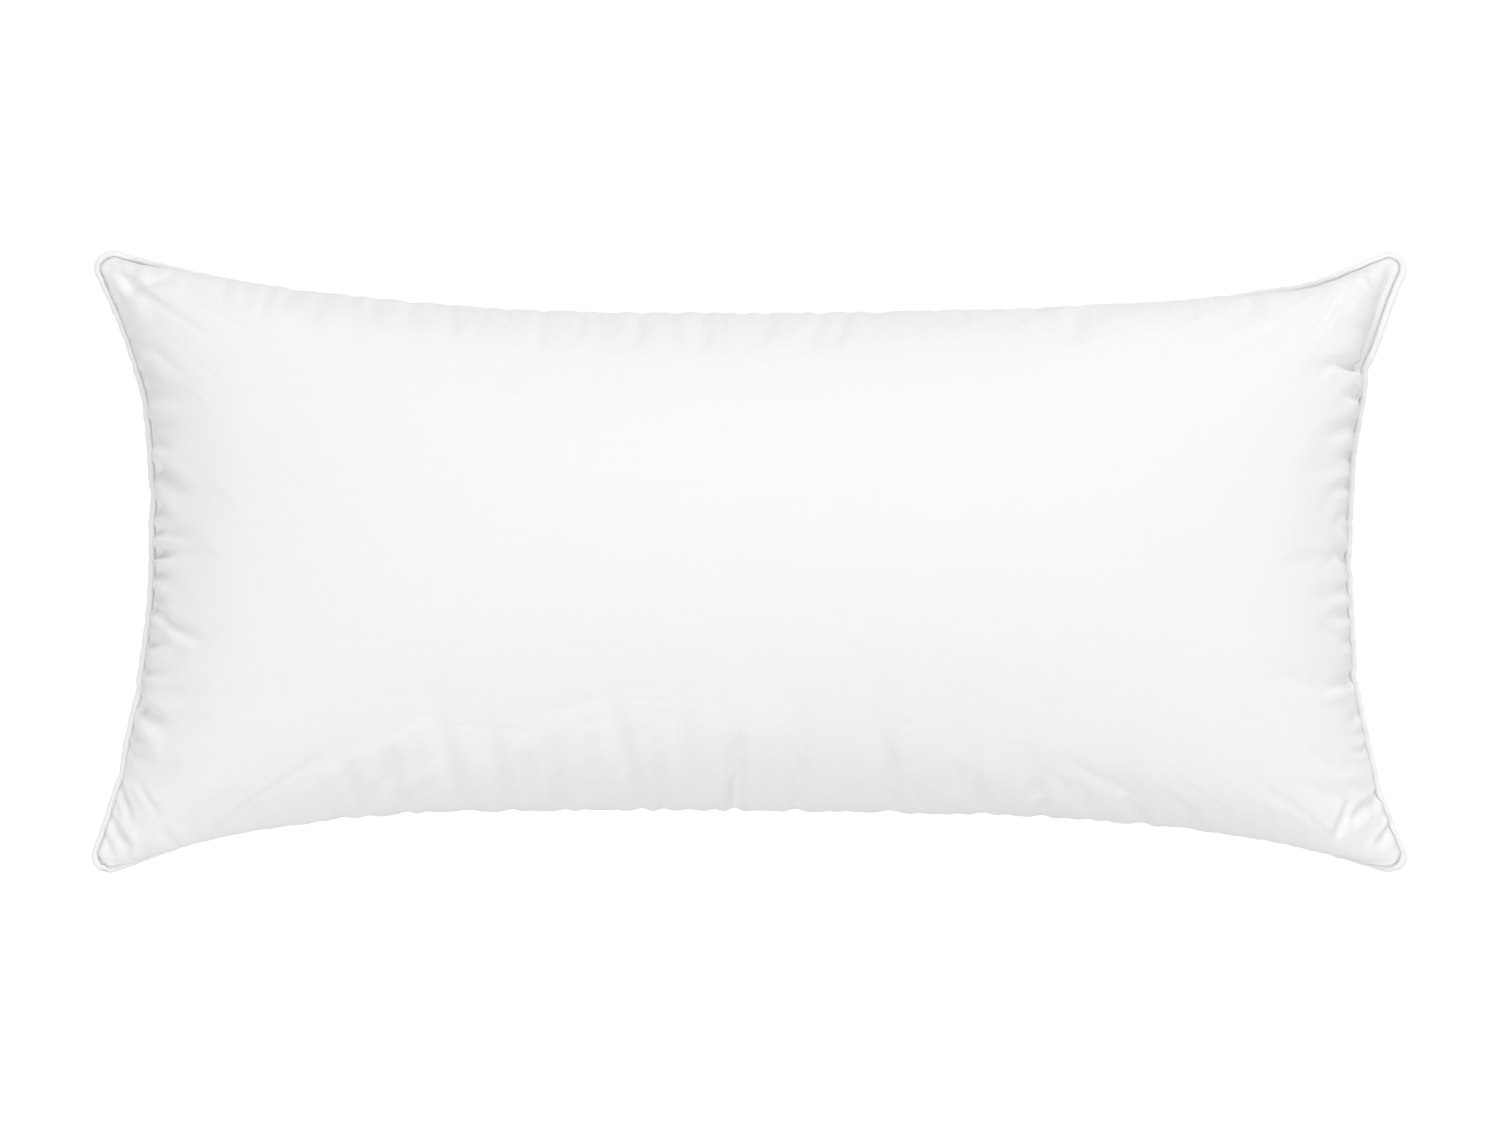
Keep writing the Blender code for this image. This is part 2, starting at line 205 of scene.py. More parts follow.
def alongSeam(distance):
    # Place, outward direction, lift and the width of the turned-in cloth
    length = seamLine["length"]
    at = np.mod(distance, length)

    def read(values):
        return np.interp(at, seamLine["distance"], values)

    place = np.stack([read(seamLine["place"][:, axis]) for axis in range(2)], -1)
    outward = np.stack([read(seamLine["outward"][:, axis]) for axis in range(2)], -1)
    tip = seamLine["tipDistance"]
    tips = np.array((tip, length / 2 - tip, length / 2 + tip, length - tip))
    beside = np.abs(at[..., None] - tips).min(-1) - seam["cornerRadius"]
    grown = smoothStep(beside / cloth["trimLength"])
    allowance = cloth["cornerAllowance"] + (cloth["allowance"] - cloth["cornerAllowance"]) * grown
    return place, outward, read(seamLine["lift"]), allowance


def besideSeam(distance, out, up):
    # Points at (out, up) beside the seam line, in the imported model's frame
    place, outward, lift, _ = alongSeam(distance)
    flat = place + outward * np.asarray(out)[..., None]
    return np.concatenate([flat, (seam["level"] + lift + up)[..., None]], -1)


def gridFaces(rows, columns, closedRows=False, closedColumns=False):
    index = np.arange(rows * columns).reshape(rows, columns)
    if closedRows:
        index = np.concatenate([index, index[:1]])
    if closedColumns:
        index = np.concatenate([index, index[:, :1]], 1)
    corners = [index[:-1, :-1], index[1:, :-1], index[1:, 1:], index[:-1, 1:]]
    return np.stack(corners, -1).reshape(-1, 4)


def makeMesh(name, points, faces, cutPlaces=None, smooth=True):
    mesh = bpy.data.meshes.new(name)
    mesh.from_pydata(np.asarray(points).reshape(-1, 3).tolist(), [], [list(f) for f in faces])
    if cutPlaces is not None:
        # Every corner's place on the flat cloth, in metres, for the weave
        layer = mesh.uv_layers.new(name="cut")
        corners = np.zeros(len(mesh.loops), np.int32)
        mesh.loops.foreach_get("vertex_index", corners)
        flat = np.asarray(cutPlaces).reshape(-1, 2)[corners]
        layer.data.foreach_set("uv", flat.astype(np.float32).ravel())
    mesh.update()
    if smooth:
        mesh.shade_smooth()
    return mesh


def addPiece(name, mesh, material, nodes):
    piece = bpy.data.objects.new(name, mesh)
    bpy.context.scene.collection.objects.link(piece)
    mesh.materials.append(material)
    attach(piece, "root")
    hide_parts(*nodes)
    return piece


def addThickness(piece, thickness):
    shell = piece.modifiers.new("thickness", "SOLIDIFY")
    shell.thickness = thickness
    shell.offset = -1
    shell.use_even_offset = True


def addNode(tree, kind, settings=None, **inputs):
    # A shader node with its settings and its input values or links
    node = tree.nodes.new(kind)
    for name, value in (settings or {}).items():
        setattr(node, name, value)
    for name, value in inputs.items():
        fill(tree, node.inputs[name.replace("_", " ")], value)
    return node


def fill(tree, socket, value):
    if isinstance(value, bpy.types.NodeSocket):
        tree.links.new(value, socket)
    else:
        socket.default_value = value


def addMath(tree, operation, *values):
    node = tree.nodes.new("ShaderNodeMath")
    node.operation = operation
    for socket, value in zip(node.inputs, values):
        fill(tree, socket, value)
    return node.outputs[0]


def addStretchedNoise(tree, places, scale, detail):
    mapping = addNode(tree, "ShaderNodeMapping", Vector=places, Scale=scale)
    return addNode(tree, "ShaderNodeTexNoise", Vector=mapping.outputs[0], Scale=1.0,
                   Detail=detail, Roughness=0.6).outputs[0]


def newGroup(name, inputs, outputs):
    tree = bpy.data.node_groups.new(name, "ShaderNodeTree")
    for socketName, value in inputs.items():
        socket = tree.interface.new_socket(socketName, in_out="INPUT",
                                           socket_type="NodeSocketFloat")
        socket.default_value = value
    for socketName in outputs:
        tree.interface.new_socket(socketName, in_out="OUTPUT", socket_type="NodeSocketFloat")
    return tree, tree.nodes.new("NodeGroupInput"), tree.nodes.new("NodeGroupOutput")


# Unevenness of the yarns, in waves for each metre of the flat cloth
weaveNoise = {
    "warp": (900, 22, 1),          # thick and thin places drawn out along each yarn
    "weft": (18, 820, 1),
    "cloudy": (35, 35, 1),
    "detail": 3,
    "cloudyDetail": 4,
}
noiseSpan = (0.3, 0.7)             # where nearly all of a noise's values lie
clothSpecular = 0.3


def wovenClothGroup():
    # Plain weave with thicker yarns here and there, laid out on the flat cut
    tree, given, result = newGroup(
        "wovenCloth",
        {"Yarn Spacing": 0.0003, "Weave": 0.3, "Slubs": 0.5, "Turn": 0.0},
        ("Height", "Tone", "Wear"))
    cut = addNode(tree, "ShaderNodeUVMap", {"uv_map": "cut"}).outputs[0]
    turned = addNode(tree, "ShaderNodeVectorRotate", {"rotation_type": "Z_AXIS"},
                     Vector=cut, Angle=given.outputs["Turn"]).outputs[0]
    split = addNode(tree, "ShaderNodeSeparateXYZ", Vector=turned)
    waves = []
    for axis in ("X", "Y"):
        turns = addMath(tree, "DIVIDE", split.outputs[axis], given.outputs["Yarn Spacing"])
        waves.append(addMath(tree, "SINE", addMath(tree, "MULTIPLY", turns, math.pi)))
    crossing = addMath(tree, "MULTIPLY", waves[0], waves[1])
    warp = addStretchedNoise(tree, turned, weaveNoise["warp"], weaveNoise["detail"])
    weft = addStretchedNoise(tree, turned, weaveNoise["weft"], weaveNoise["detail"])
    slubs = addMath(tree, "MULTIPLY", addMath(tree, "ADD", warp, weft), 0.5)
    cloudy = addStretchedNoise(tree, turned, weaveNoise["cloudy"], weaveNoise["cloudyDetail"])
    weave = addMath(tree, "MULTIPLY", crossing, given.outputs["Weave"])
    thick = addMath(tree, "MULTIPLY", slubs, given.outputs["Slubs"])
    fill(tree, result.inputs["Height"], addMath(tree, "ADD", weave, thick))
    fill(tree, result.inputs["Tone"], slubs)
    fill(tree, result.inputs["Wear"], cloudy)
    return tree


def twistedFibreGroup():
    # Fine hairs and twist for cord, thread and loose fibre, from the piece's own places
    tree, given, result = newGroup("twistedFibre", {"Fibre Size": 0.0004, "Clump Size": 0.004},
                                   ("Height", "Tone"))
    place = addNode(tree, "ShaderNodeTexCoord").outputs["Object"]
    fineScale = addMath(tree, "DIVIDE", 1.0, given.outputs["Fibre Size"])
    clumpScale = addMath(tree, "DIVIDE", 1.0, given.outputs["Clump Size"])
    fine = addNode(tree, "ShaderNodeTexNoise", Vector=place, Scale=fineScale, Detail=4.0)
    clump = addNode(tree, "ShaderNodeTexNoise", Vector=place, Scale=clumpScale, Detail=3.0)
    both = addMath(tree, "ADD", fine.outputs[0], clump.outputs[0])
    fill(tree, result.inputs["Height"], addMath(tree, "MULTIPLY", both, 0.5))
    fill(tree, result.inputs["Tone"], clump.outputs[0])
    return tree


def newMaterial(name, sheen, sheenRoughness):
    material = bpy.data.materials.new(name)
    material.use_nodes = True
    tree = material.node_tree
    shader = tree.nodes["Principled BSDF"]
    shader.inputs["Sheen Weight"].default_value = sheen
    shader.inputs["Sheen Roughness"].default_value = sheenRoughness
    shader.inputs["Specular IOR Level"].default_value = clothSpecular
    return material, tree, shader


def mixColour(tree, share, low, high):
    mix = tree.nodes.new("ShaderNodeMix")
    mix.data_type = "RGBA"
    factor, first, second = mix.inputs[0], mix.inputs[6], mix.inputs[7]
    fill(tree, factor, share)
    first.default_value = (*low, 1)
    second.default_value = (*high, 1)
    return mix.outputs[2]


def finishShader(tree, shader, colour, roughness, height, strength, depth):
    fill(tree, shader.inputs["Base Color"], colour)
    fill(tree, shader.inputs["Roughness"], roughness)
    bump = addNode(tree, "ShaderNodeBump", Height=height, Strength=strength, Distance=depth)
    fill(tree, shader.inputs["Normal"], bump.outputs[0])


def remap(tree, value, low, high):
    # A noise's usual span, drawn out from low to high
    return addNode(tree, "ShaderNodeMapRange", From_Min=noiseSpan[0], From_Max=noiseSpan[1],
                   To_Min=low, To_Max=high, Value=value).outputs[0]


wovenCloth = wovenClothGroup()
twistedFibre = twistedFibreGroup()


def wovenMaterial(name, look):
    material, tree, shader = newMaterial(name, look["sheen"], look["sheenRoughness"])
    weave = addNode(tree, "ShaderNodeGroup", {"node_tree": wovenCloth},
                    Yarn_Spacing=look["yarnSpacing"], Weave=look["weave"],
                    Slubs=look["slubs"], Turn=look["turn"])
    tone = remap(tree, weave.outputs["Tone"], 0.0, 1.0)
    colour = mixColour(tree, tone, look["dark"], look["light"])
    roughness = remap(tree, weave.outputs["Wear"], *look["roughness"])
    finishShader(tree, shader, colour, roughness, weave.outputs["Height"],
                 look["bump"], look["depth"])
    return material


def fibreMaterial(name, look):
    material, tree, shader = newMaterial(name, look["sheen"], look["sheenRoughness"])
    fibre = addNode(tree, "ShaderNodeGroup", {"node_tree": twistedFibre},
                    Fibre_Size=look["fibreSize"], Clump_Size=look["clumpSize"])
    tone = remap(tree, fibre.outputs["Tone"], 0.0, 1.0)
    colour = mixColour(tree, tone, look["dark"], look["light"])
    roughness = remap(tree, fibre.outputs["Height"], *look["roughness"])
    finishShader(tree, shader, colour, roughness, fibre.outputs["Height"],
                 look["bump"], look["depth"])
    return material


percaleLook = {
    "dark": (0.915, 0.915, 0.917),
    "light": (0.940, 0.940, 0.940),
    "roughness": (0.78, 0.90),
    "yarnSpacing": 0.00032,
    "weave": 0.25,
    "slubs": 0.6,
    "turn": 0.0,
    "bump": 0.35,
    "depth": 0.0002,
    "sheen": 0.12,
    "sheenRoughness": 0.45,
}
biasLook = {**percaleLook, "turn": math.radians(45), "dark": (0.90, 0.90, 0.902),
            "light": (0.95, 0.95, 0.95)}
labelLook = {**percaleLook, "yarnSpacing": 0.00022, "sheen": 0.3, "roughness": (0.45, 0.6)}
cordLook = {
    "dark": (0.74, 0.72, 0.67),
    "light": (0.86, 0.85, 0.81),
    "roughness": (0.85, 0.95),
    "fibreSize": 0.00025,
    "clumpSize": 0.003,
    "bump": 0.6,
    "depth": 0.00015,
    "sheen": 0.2,
    "sheenRoughness": 0.6,
}
threadLook = {**cordLook, "dark": (0.86, 0.86, 0.86), "light": (0.93, 0.93, 0.93),
              "roughness": (0.5, 0.65), "clumpSize": 0.0012}
fibreLook = {**cordLook, "dark": (0.82, 0.82, 0.80), "light": (0.92, 0.92, 0.91),
             "fibreSize": 0.0008, "clumpSize": 0.012, "depth": 0.0015, "sheen": 0.35}

percale = wovenMaterial("whitePercale", percaleLook)
biasPercale = wovenMaterial("biasPercale", biasLook)
labelTape = wovenMaterial("wovenTape", labelLook)
cordCotton = fibreMaterial("cottonCord", cordLook)
sewingThread = fibreMaterial("sewingThread", threadLook)
fillingFibre = fibreMaterial("fillingFibre", fibreLook)
print("Materials: %d" % len(bpy.data.materials))


# The smooth form of a filled panel, before its gathers
crown = {
    # Its section along (X) and across (Y): 1 - share ^ first number, raised to the second
    "alongProfile": (2.6, 0.55),
    "acrossProfile": (2.1, 0.52),
    "longSwell": {"upper": 0.0140, "lower": 0.0146},   # how far a wall leans out over an edge
    # How close to the left and right corners a long wall keeps leaning out, as powers
    "overhang": {"upper": (10.0, 4.4), "lower": (18.0, 16.0)},
    "shortSwell": 0.006,
    "swellPower": 60,              # higher keeps the lean closer to the seam
    "sectionPoints": 4001,
    # The roll beside the seam: lean, height, share of the edge where the tips' roll starts
    "rolls": {"right": (0.0012, 0.0040, 0.82), "left": (0.0012, 0.0040, 0.82),
              "upper": (0.0014, 0.0042, 0.80), "lower": (0.0038, 0.0052, 0.95)},
    "tipRoll": (0.0010, 0.0030),   # lean and height at a corner's tip
    "apex": 0.12,                  # how far the crown's top line lies towards the upper edge
    "press": 0.004,                # how deep the back crown would reach below where it lies
    "pressEase": 0.0015,
}

# How gathers are shaped and where they are slighter
gathering = {
    "late": 0.5,                   # share of the listed gathers pressed in after the filling
    "startWidth": 0.8,             # a gather widens from its seam end to its inner end
    "widening": 0.7,
    "shoulder": 0.75,              # raises the cloth beside the valley
    "spread": 1.6,
    "fadeOut": 0.7,                # share of the length over which the inner end fades
    "fadeIn": 3,
    "wallCalm": 0.6,               # how much slighter gathers are on an upright long wall
    "wallFrom": 0.72,
    "wallEase": 0.22,
    "tipCalm": 0.030,              # length over which gathers grow from a corner's tip
    "smallLean": 0.25,
    "smallStart": 0.004,           # small gathers start this far outside the seam line
    "smallStrength": (0.4, 1.3),
    "smallStep": (0.6, 1.5),
}

# The opening the fibre goes in by, on the right edge: its flat band and its topstitch
closing = {
    "length": 0.172,
    "flatFrom": 0.112,             # Y of the flat band's lower end
    "flatEase": 0.012,
    "flatWidth": 0.0038,
    "flatRise": 0.0004,
    "setBack": 0.0056,             # of the wall behind the band
    "setPower": 20,                # higher keeps the set-back closer to the seam
    "stitchRow": 3,                # of the finished grid's rows, in from the border
    "threadRadius": 0.0003,
    "threadRise": 0.00012,
    "holeDepth": 3,                # times the dip of the seam's stitches
    "fromTip": 0.006,
}

# The fibre body
filling = {
    "gap": 0.005,                  # under the panels
    "edgeGap": 0.0015,             # from the end of the allowances
    "columns": 128,
    "rows": 64,
    "lumpSize": 0.035,
    "lumpHeight": 0.0022,
    "lumpWaves": 24,
    "lumpSink": 0.6,               # keeps the lumps under the panels
    "seed": 5,
    "firmness": 0.7,
}

simulation = {
    "frames": 26,
    "quality": 6,
    "vertexMass": 0.0005,
    "tension": 40,
    "shear": 8,
    "bending": 0.12,
    "damping": 8,
    "pressure": 3.0,
    "slack": 0.006,                # how much longer the cloth near the seam is than its place
    "hold": 0.05,                  # how firmly the fibre holds the crown
    "holdFrom": (0.06, 0.3),       # share of the crown's height: where a hold starts, its ease
    "tightFrom": (0.25, 0.5),      # the same for cloth without slack
    "cornerFrom": (0.5, 0.25),     # along times across, for the corners, held and without slack
    "airDamping": 2,
}

frontPanel = {
    "name": "front_panel",
    "side": 1,
    "height": frontBox[1].z - seam["level"],
    "setBack": closing["setBack"],
    "columns": 256,
    "rows": 128,
    "seed": 3,
    "ripple": 0.00022,
    # Gathers, as valleys: from the seam end (x, y) to the inner end, width and depth.
    # Millimetres from the pillow's middle, seen from above.
    "gathers": [
        # lower edge
        (-228, -150, -249, -88, 6.3, 1.8), (-205, -150, -218, -82, 6.3, 1.8),
        (-168, -150, -189, -55, 6.3, 2.2), (-140, -150, -155, -80, 6.3, 2.6),
        (-110, -150, -121, -82, 5.2, 1.7), (-64, -150, -86, -51, 6.3, 2.8),
        (-50, -150, -59, -91, 5.2, 2), (-36, -150, -42, -44, 6.3, 2),
        (-9, -150, -9, -79, 5.2, 3.4), (27, -150, 30, -65, 6.3, 2.4),
        (84, -150, 72, -65, 7.4, 2.7), (136, -150, 123, -102, 7.4, 2.2),
        (172, -150, 159, -98, 6.3, 1.8), (232, -158, 216, -111, 7.4, 2.1),
        # upper edge
        (-200, 152, -196, 120, 6, 1.2), (-122, 151, -125, 112, 5, 1.2),
        (-88, 150, -90, 108, 6, 1.0), (-64, 150, -68, 116, 5, 1.2),
        (-28, 150, -29, 104, 6, 1.2), (8, 150, 4, 112, 6, 1.0),
        (42, 150, 43, 114, 6, 1.0), (74, 150, 72, 108, 6, 1.2),
        (300, 160, 284, 124, 7, 1.8), (196, 152, 186, 122, 7, 1.2),
        # left edge
        (-362, 84, -332, 76, 4.8, 2.9), (-361, 78, -340, 63, 4.2, 2.9),
        (-361, 62, -330, 35, 4.8, 5.3), (-360, 38, -339, 20, 4.2, 3.8),
        (-359, 20, -320, 14, 4.2, 3.8), (-360, 5, -338, 7, 3.6, 4.3),
        (-350, 6, -312, 5, 4.8, 1.7), (-360, 0, -339, -16, 3.6, 3.6),
        (-360, -16, -341, -33, 4.2, 3.6), (-348, -32, -317, -50, 3.6, 3.6),
        (-364, -48, -342, -46, 3.6, 4.3), (-363, -64, -339, -64, 3.6, 3.4),
        (-368, -82, -341, -102, 4.8, 5.5), (-372, -100, -356, -115, 4.2, 2.6),
        (-374, -112, -349, -119, 3.6, 2.2),
        (-366, 116, -347, 103, 4.8, 2.4), (-364, 106, -338, 93, 4.8, 2.2),
        # right edge
        (366, 117, 346, 117, 4, 4.4), (352, 118, 334, 116, 3, 2.0),
        (364, 100, 346, 96, 3.5, 2.2), (362, 84, 338, 72, 4, 2.2),
        (361, 66, 346, 58, 3, 2.0), (361, 49, 336, 38, 4, 2.6),
        (360, 30, 344, 24, 3, 2.0), (360, 2, 340, 6, 3.5, 3.2),
        (360, -14, 346, -20, 3, 2.0), (361, -30, 336, -34, 4, 2.2),
        (363, -48, 346, -48, 3, 2.0), (366, -69, 344, -72, 3.5, 3.4),
        (352, -72, 332, -76, 4, 1.4), (368, -90, 350, -97, 3.5, 2.0),
        (371, -112, 354, -114, 3, 1.6),
        # corners
        (-378, 182, -374, 170, 2.5, 1.8), (-376, 171, -358, 156, 3.5, 2.2),
        (-362, 160, -344, 142, 5, 1.6), (-354, 166, -334, 172, 4, 1.4),
        (-374, -139, -366, -160, 2.5, 3.0), (-382, -154, -365, -175, 2.5, 3.6),
        (-384, -166, -376, -182, 2, 2.2), (-356, -142, -346, -156, 3.5, 1.2),
        (382, 180, 384, 170, 2.5, 2.2), (366, 174, 378, 161, 3, 2.0),
        (347, 155, 357, 172, 4, 2.0), (356, 158, 346, 148, 4, 1.4),
        (374, -141, 350, -157, 3.5, 4.0), (351, -154, 346, -168, 3.5, 2.6),
        (374, -142, 369, -156, 2.5, 2.4), (382, -160, 370, -175, 3, 3.4),
    ],
    "smallGathers": {"spacing": 0.016, "depth": 0.0009, "length": (0.015, 0.045),
                     "width": (0.0035, 0.006)},
}
backPanel = {
    **frontPanel,
    "name": "back_panel",
    "side": -1,
    "setBack": 0.0,
    "height": seam["level"] - backBox[0].z + crown["press"],
    "columns": 160,
    "rows": 80,
    "seed": 8,
    "gathers": [
        (376, 170, 340, 130, 6, 2.6), (-376, 170, -338, 134, 6, 2.6),
        (374, -170, 342, -126, 6, 2.6), (-376, -168, -340, -132, 6, 2.6),
    ],
    "smallGathers": {"spacing": 0.024, "depth": 0.0015, "length": (0.025, 0.075),
                     "width": (0.005, 0.007)},
}


def sectionRise(share, profile):
    return (1 - np.abs(share) ** profile[0]) ** profile[1]


def crownShare(along, across):
    # Parts of the full height that a place has for its X and for its Y, as shares of the half size
    across = across - crown["apex"] * (1 - across ** 2)
    return sectionRise(along, crown["alongProfile"]), sectionRise(across, crown["acrossProfile"])


def evenShares(profile, halfLength, rise, swell, count):
    # Shares of the half length that lie evenly along the crown's own section
    share = np.linspace(-1, 1, crown["sectionPoints"])
    across = halfLength * share + swell * share * (1 - np.abs(share) ** crown["swellPower"])
    level = rise * sectionRise(share, profile)
    lengths = pathLengths(np.stack([across, level], 1))
    return np.interp(np.linspace(0, lengths[-1], count + 1), lengths, share)


def sideDistances(columns, rows):
    # Distances along the seam of the four sides of a panel's grid
    length, tip = seamLine["length"], seamLine["tipDistance"]
    return {"right": np.linspace(-tip, tip, rows + 1),
            "upper": np.linspace(length / 2 - tip, tip, columns + 1),
            "left": np.linspace(length / 2 - tip, length / 2 + tip, rows + 1)[::-1],
            "lower": np.linspace(length / 2 + tip, length - tip, columns + 1)}


def flatShare(y):
    # One along the closed opening, which lies flat beside the piping
    return smoothStep((y - closing["flatFrom"]) / closing["flatEase"])


def crownGrid(columns, rows, base, rise, edgeGap=None, setBack=0.0):
    # A smooth crown on the seam line, as a grid of places with Z up from the seam's level.
    # An edge gap keeps it inside the allowances, and a set-back bares the closing's flat band.
    sides = sideDistances(columns, rows)
    edge = {}
    for side, distance in sides.items():
        inset = np.zeros(len(distance))
        if edgeGap is not None:
            inset = alongSeam(distance)[3] + edgeGap
        edge[side] = besideSeam(distance, -inset, 0.0)[:, :2]
    halfX = (edge["right"][rows // 2, 0] - edge["left"][rows // 2, 0]) / 2
    halfY = (edge["upper"][columns // 2, 1] - edge["lower"][columns // 2, 1]) / 2
    evenU = evenShares(crown["alongProfile"], halfX, rise, crown["shortSwell"], columns)
    evenV = evenShares(crown["acrossProfile"], halfY, rise, crown["longSwell"]["upper"], rows)
    i, j = np.meshgrid(np.linspace(-1, 1, columns + 1), np.linspace(-1, 1, rows + 1),
                       indexing="ij")
    alongEdge, acrossEdge = crownShare(i, j)
    plainU = (edge["upper"][:, 0] + edge["lower"][:, 0]) / 2
    plainU = plainU / plainU[-1]
    plainV = (edge["right"][:, 1] + edge["left"][:, 1]) / 2
    plainV = plainV / plainV[-1]
    u = evenU[:, None] * acrossEdge + plainU[:, None] * (1 - acrossEdge)
    v = evenV[None, :] * alongEdge + plainV[None, :] * (1 - alongEdge)
    u[0], u[-1], v[:, 0], v[:, -1] = -1, 1, -1, 1

    def onSide(side, axis, shares):
        curve = edge[side]
        key = curve[:, 1 - axis] / np.abs(curve[:, 1 - axis]).max()
        return np.interp(shares, key, curve[:, axis])

    x = np.where(u > 0, u * onSide("right", 0, v), -u * onSide("left", 0, v))
    y = np.where(v > 0, v * onSide("upper", 1, u), -v * onSide("lower", 1, u))
    power = crown["swellPower"]
    x += crown["shortSwell"] * u * (1 - v ** 2) * (1 - np.abs(u) ** power)
    for name, sign in (("upper", 1), ("lower", -1)):
        left, right = crown["overhang"][name]
        fall = left + (right - left) * smoothStep((u + 1) / 2)
        lean = crown["longSwell"][name] * (1 - np.abs(u) ** fall) * (1 - np.abs(v) ** power)
        y += lean * np.where(v * sign > 0, v, 0)
    x -= setBack * flatShare(y) * np.where(u > 0, u, 0) ** closing["setPower"]
    alongShare, acrossShare = crownShare(u, v)
    share = alongShare * acrossShare
    grid = np.stack([x, y, base + (rise - base) * share], -1)
    return grid, share, sides


def gridNormals(grid):
    normals = np.cross(np.gradient(grid, axis=0), np.gradient(grid, axis=1))
    return normals / np.maximum(np.linalg.norm(normals, axis=-1), 1e-12)[..., None]


def gatherDepth(grid, start, end, width, depth):
    # A valley with raised shoulders, deepest near the seam and widening as it runs out
    x, y = grid[..., 0], grid[..., 1]
    run = np.subtract(end, start)
    length = np.hypot(*run)
    run = run / length
    along = ((x - start[0]) * run[0] + (y - start[1]) * run[1]) / length
    across = (x - start[0]) * run[1] - (y - start[1]) * run[0]
    wide = width * (gathering["startWidth"] + gathering["widening"] * np.clip(along, 0, 1))
    ratio = (across / wide) ** 2
    fade = smoothStep((1 - along) / gathering["fadeOut"])
    fade = fade * smoothStep(gathering["fadeIn"] + along * gathering["fadeIn"])
    valley = (1 - gathering["shoulder"] * ratio) * np.exp(-ratio / gathering["spread"])
    return -depth * valley * fade


def gatherShare(grid, normals):
    # Gathers are slighter where a long wall stands upright and at a corner's tip
    lean = np.abs(normals[..., 1])
    upright = smoothStep((lean - gathering["wallFrom"]) / gathering["wallEase"])
    away = np.abs(grid[..., :2]) - seam["tip"]
    tip = smoothStep(np.hypot(away[..., 0], away[..., 1]) / gathering["tipCalm"])
    return (1 - gathering["wallCalm"] * upright) * tip


def smallGatherList(panel, rng):
    # Light gathers all round, at uneven steps along the seam
    small = panel["smallGathers"]
    gathers = []
    distance = rng.uniform(0, small["spacing"])
    while distance < seamLine["length"] - small["spacing"] / 2:
        place, outward, _, _ = alongSeam(np.array([distance]))
        place, inward = place[0], -outward[0]
        lean = rng.normal(0, gathering["smallLean"])
        run = inward + lean * np.array((-inward[1], inward[0]))
        start = place - gathering["smallStart"] * inward
        end = start + run * rng.uniform(*small["length"])
        depth = small["depth"] * rng.uniform(*gathering["smallStrength"])
        gathers.append((start, end, rng.uniform(*small["width"]), depth))
        distance += small["spacing"] * rng.uniform(*gathering["smallStep"])
    return gathers


def toPanelSpace(points, side):
    # Z up from the seam's level, away from the seam on both panels
    return (points - (0, 0, seam["level"])) * (1, 1, side)


def fromPanelSpace(points, side):
    return points * (1, 1, side) + (0, 0, seam["level"])


def borderRows(grid, row):
    # Views of the grid's four sides, a number of rows in from its border
    last = -1 - row
    inner = slice(row, -row) if row else slice(None)
    return {"right": grid[last, inner], "left": grid[row, inner],
            "upper": grid[inner, last], "lower": grid[inner, row]}


def pinEdges(grid, sides, side):
    # Lay the border on the seam's fold and the next row on the roll beside it
    outer, second = borderRows(grid, 0), borderRows(grid, 1)
    for name, distance in sides.items():
        outer[name][:] = toPanelSpace(besideSeam(distance, 0.0, side * foldLevel), side)
        rollLean, rollHeight, start = crown["rolls"][name]
        tipLean, tipHeight = crown["tipRoll"]
        tip = np.abs(np.linspace(-1, 1, len(distance)))
        middle = 1 - smoothStep((tip - start) / (1 - start))
        lean = tipLean + (rollLean - tipLean) * middle
        height = tipHeight + (rollHeight - tipHeight) * middle
        if side > 0 and name == "right":
            flat = flatShare(outer[name][:, 1])
            lean += (-closing["flatWidth"] - lean) * flat
            height += (foldLevel + closing["flatRise"] - height) * flat
        rolled = toPanelSpace(besideSeam(distance, lean, side * height), side)
        second[name][:] = rolled[1:-1]


